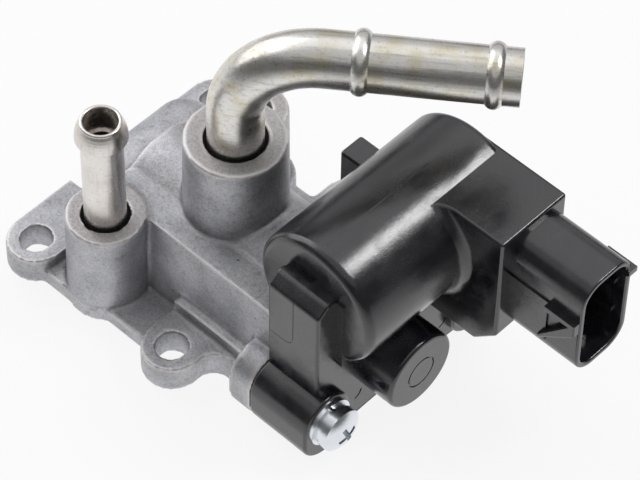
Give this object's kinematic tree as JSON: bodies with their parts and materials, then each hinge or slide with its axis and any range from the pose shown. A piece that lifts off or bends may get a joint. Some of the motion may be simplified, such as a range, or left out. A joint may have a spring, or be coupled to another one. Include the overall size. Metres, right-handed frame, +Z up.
{
  "type": "idle air control valve",
  "caption": "Idle air control valve: a cast aluminium body with a straight and a bent hose pipe, clamped to a black rotary solenoid motor with a shrouded connector.",
  "frame": {"origin": "centre of the mounting bolt rectangle, on the gasket face", "axes": "+X along the valve axis from the body to the motor's cap, +Y along the coil away from the near clamping screw, +Z up from the gasket face towards the hose pipes"},
  "size_m": [0.1202, 0.0731, 0.0806],
  "materials": {
    "cast_aluminium": "as-cast, fine grain",
    "nickel_tube": "satin nickel",
    "zinc_tube": "pale yellow zinc plate",
    "black_plastic": "satin glass-filled nylon",
    "seal_rubber": "matt",
    "bright_zinc": "bright zinc plate",
    "machined_aluminium": "turned",
    "sintered_bronze": "oil-filled sinter",
    "ground_steel": "ground",
    "spring_steel": "phosphated",
    "valve_polymer": "filled resin",
    "magnet_ferrite": "bonded ferrite",
    "bobbin_nylon": "natural nylon",
    "copper_wire": "enamelled copper",
    "soft_iron": "zinc-plated soft iron",
    "tin_plate": "tin plate"
  },
  "bodies": {
    "housing": {"valve_body": "cast_aluminium", "straight_nipple": "nickel_tube", "bent_pipe": "zinc_tube", "motor_housing": "black_plastic", "motor_seal": "seal_rubber", "housing_screws": "bright_zinc", "spring_washers": "bright_zinc", "plain_washers": "bright_zinc", "bearing_carrier": "machined_aluminium", "shaft_seal": "seal_rubber", "inner_bush": "sintered_bronze", "outer_bush": "sintered_bronze", "thrust_washer": "sintered_bronze", "bobbin": "bobbin_nylon", "coil_winding": "copper_wire", "coil_core": "soft_iron", "near_pole_leg": "soft_iron", "far_pole_leg": "soft_iron", "terminals": "tin_plate"},
    "rotor": {"valve_shaft": "ground_steel", "rotary_valve": "valve_polymer", "valve_pin": "ground_steel", "retaining_ring": "spring_steel", "rotor_magnet": "magnet_ferrite"}
  },
  "joints": [
    {"name": "valve", "type": "hinge", "parent": "housing", "child": "rotor", "pos_m": [0.0127, 0, 0.014], "axis": [1, 0, 0], "range_deg": [0, 60]}
  ]
}
